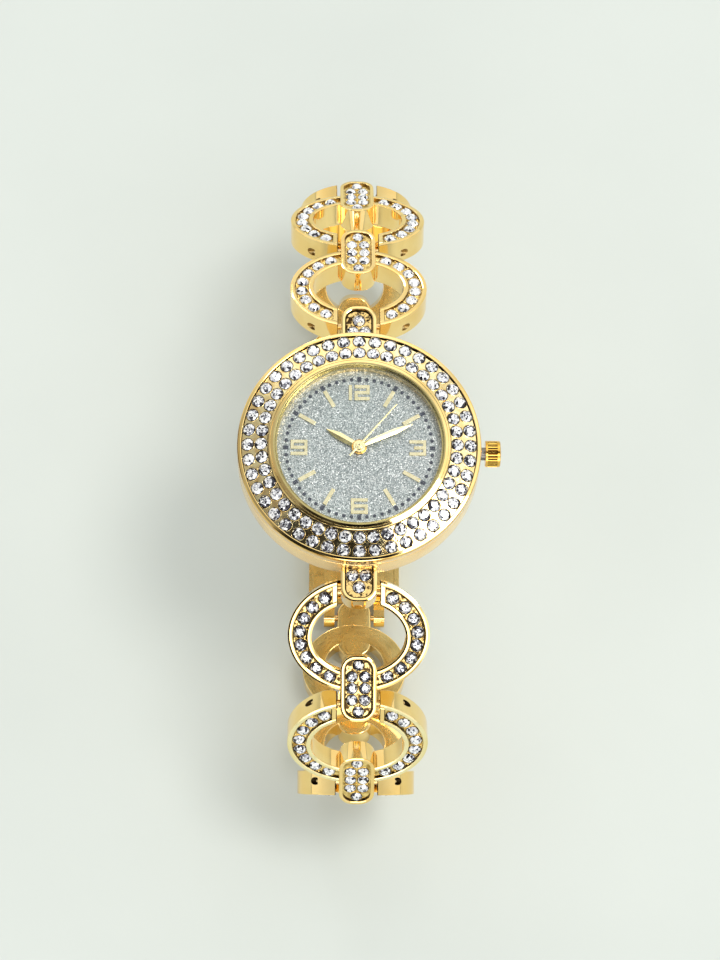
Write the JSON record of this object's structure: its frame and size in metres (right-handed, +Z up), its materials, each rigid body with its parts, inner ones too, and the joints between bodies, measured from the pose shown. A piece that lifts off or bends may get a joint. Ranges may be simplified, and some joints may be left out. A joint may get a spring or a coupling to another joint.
{
  "type": "bracelet wristwatch",
  "caption": "Round-head bracelet watch: stone-set bezel, oval ring links on pins, folding clasp, crown and turning hands.",
  "frame": {"origin": "on the resting plane, the clasp's flat outer face, straight under the axis of the hands", "axes": "+X to 3 o'clock and the crown, +Y to 12 o'clock along the bracelet, +Z up out of the dial"},
  "size_m": [0.0324, 0.0836, 0.0417],
  "materials": {
    "gold": "polished gold plate",
    "pale_gold": "polished gold plate",
    "stone": "cut glass with a foil back",
    "crystal": "clear, flat",
    "dial": "silver glitter lacquer",
    "print": "printed, matt",
    "steel": "satin",
    "brass": "satin",
    "copper": "wound enamelled wire",
    "pin": "turned, plated",
    "rubber": "matt",
    "holder": "moulded",
    "board": "solder resist"
  },
  "bodies": {
    "head": {"case_body": "gold", "bezel": "gold", "head_stones": "stone", "crystal_ring": "gold", "crystal": "crystal", "case_back": "steel", "back_gasket": "rubber", "dial": "dial", "hour_markers": "pale_gold", "minute_track": "print", "movement_holder": "holder", "main_plate": "brass", "train_bridge": "brass", "circuit_board": "board", "battery": "steel", "coil": "copper", "stator": "steel", "movement_screws": "steel", "crown_tube": "brass", "lug_pins": "pin"},
    "rotor_axle": {"rotor": "steel"},
    "intermediate_axle": {"intermediate_wheel": "brass"},
    "second_axle": {"second_wheel": "brass", "second_hand": "pale_gold"},
    "third_axle": {"third_wheel": "brass"},
    "centre_axle": {"centre_wheel": "brass", "minute_hand": "pale_gold"},
    "minute_wheel_axle": {"minute_wheel": "brass"},
    "hour_axle": {"hour_wheel": "brass", "hour_hand": "pale_gold"},
    "winding_pinion": {"sliding_pinion": "steel"},
    "crown_and_stem": {"crown": "gold", "stem": "steel"},
    "ring_6_1": {"link_6_1": "gold", "stones_6_1": "stone"},
    "ring_6_2": {"link_6_2": "gold", "stones_6_2": "stone", "pins_6_2": "pin"},
    "ring_6_3": {"link_6_3": "gold", "stones_6_3": "stone"},
    "ring_6_4": {"link_6_4": "gold", "pins_6_4": "pin"},
    "ring_6_5": {"link_6_5": "gold"},
    "ring_12_1": {"link_12_1": "gold", "stones_12_1": "stone"},
    "ring_12_2": {"link_12_2": "gold", "stones_12_2": "stone", "pins_12_2": "pin"},
    "ring_12_3": {"link_12_3": "gold", "stones_12_3": "stone"},
    "ring_12_4": {"link_12_4": "gold", "pins_12_4": "pin"},
    "ring_12_5": {"link_12_5": "gold", "spring_bar": "pin"},
    "cover": {"clasp_cover": "gold", "clasp_pins": "pin"},
    "middle_blade": {"clasp_middle_blade": "gold", "clasp_blade_pin": "pin"},
    "inner_blade": {"clasp_inner_blade": "gold"}
  },
  "joints": [
    {"name": "second_hand_turn", "type": "hinge", "parent": "head", "child": "second_axle", "pos_m": [0, 0, 0.03966], "axis": [0, 0, -1], "continuous": true},
    {"name": "intermediate_turn", "type": "hinge", "parent": "head", "child": "intermediate_axle", "pos_m": [-0.00044, 0.00248, 0.03966], "axis": [0, 0, -1], "continuous": true},
    {"name": "rotor_turn", "type": "hinge", "parent": "head", "child": "rotor_axle", "pos_m": [-0.00165, 0.00318, 0.03966], "axis": [0, 0, -1], "continuous": true},
    {"name": "third_wheel_turn", "type": "hinge", "parent": "head", "child": "third_axle", "pos_m": [-0.0024, -0.00087, 0.03966], "axis": [0, 0, -1], "continuous": true},
    {"name": "minute_hand_turn", "type": "hinge", "parent": "head", "child": "centre_axle", "pos_m": [0, 0, 0.03966], "axis": [0, 0, -1], "continuous": true},
    {"name": "minute_wheel_turn", "type": "hinge", "parent": "head", "child": "minute_wheel_axle", "pos_m": [0.00199, -0.00167, 0.03966], "axis": [0, 0, -1], "continuous": true},
    {"name": "hour_hand_turn", "type": "hinge", "parent": "head", "child": "hour_axle", "pos_m": [0, 0, 0.03966], "axis": [0, 0, -1], "continuous": true},
    {"name": "crown_turn", "type": "hinge", "parent": "head", "child": "winding_pinion", "pos_m": [0.0069, 0, 0.03776], "axis": [1, 0, 0], "continuous": true},
    {"name": "crown_pull", "type": "slide", "parent": "winding_pinion", "child": "crown_and_stem", "axis": [1, 0, 0], "range_m": [0, 0.001]},
    {"name": "ring_6_1_hinge", "type": "hinge", "parent": "head", "child": "ring_6_1", "pos_m": [0, -0.0175, 0.03626], "axis": [-1, 0, 0], "range_deg": [0, 24]},
    {"name": "ring_6_2_hinge", "type": "hinge", "parent": "ring_6_1", "child": "ring_6_2", "pos_m": [0, -0.03011, 0.03122], "axis": [-1, 0, 0], "range_deg": [0, 37]},
    {"name": "ring_6_3_hinge", "type": "hinge", "parent": "ring_6_2", "child": "ring_6_3", "pos_m": [0, -0.037, 0.01952], "axis": [-1, 0, 0], "range_deg": [0, 46]},
    {"name": "ring_6_4_hinge", "type": "hinge", "parent": "ring_6_3", "child": "ring_6_4", "pos_m": [0, -0.03353, 0.00742], "axis": [-1, 0, 0], "range_deg": [0, 53.5]},
    {"name": "ring_6_5_hinge", "type": "hinge", "parent": "ring_6_4", "child": "ring_6_5", "pos_m": [0, -0.02232, 0.00334], "axis": [-1, 0, 0], "range_deg": [0, 14.5]},
    {"name": "ring_12_1_hinge", "type": "hinge", "parent": "head", "child": "ring_12_1", "pos_m": [0, 0.0175, 0.03626], "axis": [1, 0, 0], "range_deg": [0, 24]},
    {"name": "ring_12_2_hinge", "type": "hinge", "parent": "ring_12_1", "child": "ring_12_2", "pos_m": [0, 0.03005, 0.03106], "axis": [1, 0, 0], "range_deg": [0, 14]},
    {"name": "ring_12_3_hinge", "type": "hinge", "parent": "ring_12_2", "child": "ring_12_3", "pos_m": [0, 0.0409, 0.02291], "axis": [1, 0, 0], "range_deg": [0, 60.5]},
    {"name": "ring_12_4_hinge", "type": "hinge", "parent": "ring_12_3", "child": "ring_12_4", "pos_m": [0, 0.03915, 0.01045], "axis": [1, 0, 0], "range_deg": [0, 47.5]},
    {"name": "ring_12_5_hinge", "type": "hinge", "parent": "ring_12_4", "child": "ring_12_5", "pos_m": [0, 0.02926, 0.00378], "axis": [1, 0, 0], "range_deg": [0, 26.5]},
    {"name": "cover_hinge", "type": "hinge", "parent": "ring_6_5", "child": "cover", "pos_m": [0, -0.01044, 0.0023], "axis": [-1, 0, 0], "range_deg": [0, 60]},
    {"name": "middle_blade_hinge", "type": "hinge", "parent": "cover", "child": "middle_blade", "pos_m": [0, 0.01303, 0.0013], "axis": [-1, 0, 0], "range_deg": [0, 95]},
    {"name": "inner_blade_hinge", "type": "hinge", "parent": "middle_blade", "child": "inner_blade", "pos_m": [0, -0.00604, 0.0019], "axis": [1, 0, 0], "range_deg": [0, 110]}
  ],
  "couplings": [
    {"joint": "intermediate_turn", "follows": "second_hand_turn", "ratio": -5},
    {"joint": "rotor_turn", "follows": "second_hand_turn", "ratio": 30},
    {"joint": "third_wheel_turn", "follows": "second_hand_turn", "ratio": -0.13333},
    {"joint": "minute_hand_turn", "follows": "second_hand_turn", "ratio": 0.016667},
    {"joint": "minute_wheel_turn", "follows": "second_hand_turn", "ratio": -0.0055556},
    {"joint": "hour_hand_turn", "follows": "second_hand_turn", "ratio": 0.0013889}
  ]
}
